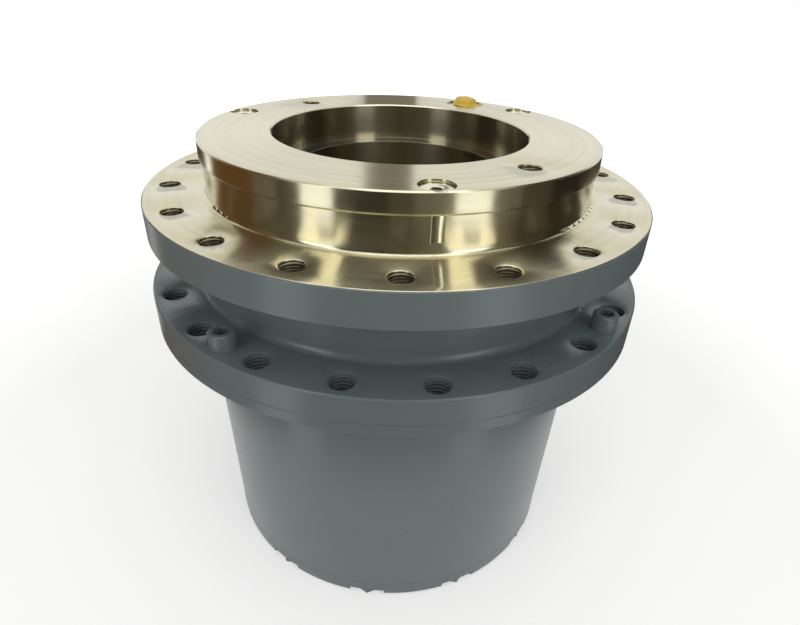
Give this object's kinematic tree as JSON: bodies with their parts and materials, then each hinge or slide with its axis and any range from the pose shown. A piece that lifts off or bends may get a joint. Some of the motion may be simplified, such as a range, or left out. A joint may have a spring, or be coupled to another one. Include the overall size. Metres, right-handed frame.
{
  "type": "excavator final drive",
  "caption": "Two-stage planetary travel gearbox: fixed spindle with a frame flange and motor pilot on top, turning hub and ring gear drum with a sprocket flange, and an end cover.",
  "frame": {"origin": "centre of the frame flange's mating face, on the axle", "axes": "+Z along the axle towards the motor; -Y is the side seen in the picture"},
  "size_m": [0.402, 0.402, 0.3705],
  "materials": {
    "machined_steel": "turned, bare",
    "grey_paint": "semi-gloss paint",
    "hard_steel": "ground",
    "gear_steel": "case hardened",
    "yellow_plastic": "moulded",
    "black_rubber": "moulded",
    "bronze": "turned",
    "cast_carrier": "machined casting",
    "soft_washer": "turned"
  },
  "bodies": {
    "spindle": {"spindle": "machined_steel", "pull_pins": "hard_steel", "port_cap": "yellow_plastic", "seal_ring_upper": "hard_steel", "seal_rubber_upper": "black_rubber", "bearing_cone_upper": "hard_steel", "bearing_cone_lower": "hard_steel", "ring_nut": "machined_steel", "nut_lock_screws": "hard_steel", "final_carrier": "cast_carrier", "carrier_screws": "hard_steel", "carrier_dowels": "hard_steel", "final_planet_pins": "hard_steel", "final_thrust_washers": "bronze"},
    "output_drum": {"hub": "grey_paint", "seal_ring_lower": "hard_steel", "seal_rubber_lower": "black_rubber", "bearing_cup_upper": "hard_steel", "bearing_cup_lower": "hard_steel", "drum_seal": "black_rubber", "ring_gear_drum": "grey_paint", "flange_cap_screws": "grey_paint", "end_cover": "grey_paint", "cover_seal": "black_rubber", "cover_bolts": "grey_paint", "drain_plug": "grey_paint", "level_plug": "grey_paint", "plug_washers": "soft_washer", "thrust_button": "hard_steel"},
    "rollers_upper": {"bearing_rollers_upper": "hard_steel", "bearing_cage_upper": "machined_steel"},
    "rollers_lower": {"bearing_rollers_lower": "hard_steel", "bearing_cage_lower": "machined_steel"},
    "first_carrier": {"first_carrier": "cast_carrier", "final_sun": "gear_steel", "first_planet_pins": "hard_steel", "first_thrust_washers": "bronze"},
    "input_shaft": {"input_shaft": "gear_steel"},
    "final_planet_1": {"final_planet_1": "gear_steel", "final_planet_bush_1": "bronze"},
    "final_planet_2": {"final_planet_2": "gear_steel", "final_planet_bush_2": "bronze"},
    "final_planet_3": {"final_planet_3": "gear_steel", "final_planet_bush_3": "bronze"},
    "final_planet_4": {"final_planet_4": "gear_steel", "final_planet_bush_4": "bronze"},
    "first_planet_1": {"first_planet_1": "gear_steel", "first_planet_bush_1": "bronze"},
    "first_planet_2": {"first_planet_2": "gear_steel", "first_planet_bush_2": "bronze"},
    "first_planet_3": {"first_planet_3": "gear_steel", "first_planet_bush_3": "bronze"}
  },
  "joints": [
    {"name": "output_spin", "type": "hinge", "parent": "spindle", "child": "output_drum", "pos_m": [0, 0, 0], "axis": [0, 0, 1], "continuous": true},
    {"name": "rollers_upper_spin", "type": "hinge", "parent": "spindle", "child": "rollers_upper", "pos_m": [0, 0, 0], "axis": [0, 0, 1], "continuous": true},
    {"name": "rollers_lower_spin", "type": "hinge", "parent": "spindle", "child": "rollers_lower", "pos_m": [0, 0, 0], "axis": [0, 0, 1], "continuous": true},
    {"name": "final_planet_1_spin", "type": "hinge", "parent": "spindle", "child": "final_planet_1", "pos_m": [0, -0.084, -0.19], "axis": [0, 0, 1], "continuous": true},
    {"name": "final_planet_2_spin", "type": "hinge", "parent": "spindle", "child": "final_planet_2", "pos_m": [0.084, 0, -0.19], "axis": [0, 0, 1], "continuous": true},
    {"name": "final_planet_3_spin", "type": "hinge", "parent": "spindle", "child": "final_planet_3", "pos_m": [0, 0.084, -0.19], "axis": [0, 0, 1], "continuous": true},
    {"name": "final_planet_4_spin", "type": "hinge", "parent": "spindle", "child": "final_planet_4", "pos_m": [-0.084, 0, -0.19], "axis": [0, 0, 1], "continuous": true},
    {"name": "first_carrier_spin", "type": "hinge", "parent": "spindle", "child": "first_carrier", "pos_m": [0, 0, 0], "axis": [0, 0, 1], "continuous": true},
    {"name": "first_planet_1_spin", "type": "hinge", "parent": "first_carrier", "child": "first_planet_1", "pos_m": [0, -0.078, -0.266], "axis": [0, 0, 1], "continuous": true},
    {"name": "first_planet_2_spin", "type": "hinge", "parent": "first_carrier", "child": "first_planet_2", "pos_m": [0.06755, 0.039, -0.266], "axis": [0, 0, 1], "continuous": true},
    {"name": "first_planet_3_spin", "type": "hinge", "parent": "first_carrier", "child": "first_planet_3", "pos_m": [-0.06755, 0.039, -0.266], "axis": [0, 0, 1], "continuous": true},
    {"name": "input_spin", "type": "hinge", "parent": "spindle", "child": "input_shaft", "pos_m": [0, 0, 0], "axis": [0, 0, 1], "continuous": true}
  ],
  "couplings": [
    {"joint": "rollers_upper_spin", "follows": "output_spin", "ratio": 0.53448},
    {"joint": "rollers_lower_spin", "follows": "output_spin", "ratio": 0.53448},
    {"joint": "final_planet_1_spin", "follows": "output_spin", "ratio": 2.75},
    {"joint": "final_planet_2_spin", "follows": "output_spin", "ratio": 2.75},
    {"joint": "final_planet_3_spin", "follows": "output_spin", "ratio": 2.75},
    {"joint": "final_planet_4_spin", "follows": "output_spin", "ratio": 2.75},
    {"joint": "first_carrier_spin", "follows": "output_spin", "ratio": -3.6667},
    {"joint": "first_planet_1_spin", "follows": "output_spin", "ratio": 11.407},
    {"joint": "first_planet_2_spin", "follows": "output_spin", "ratio": 11.407},
    {"joint": "first_planet_3_spin", "follows": "output_spin", "ratio": 11.407},
    {"joint": "input_spin", "follows": "output_spin", "ratio": -29.333}
  ]
}
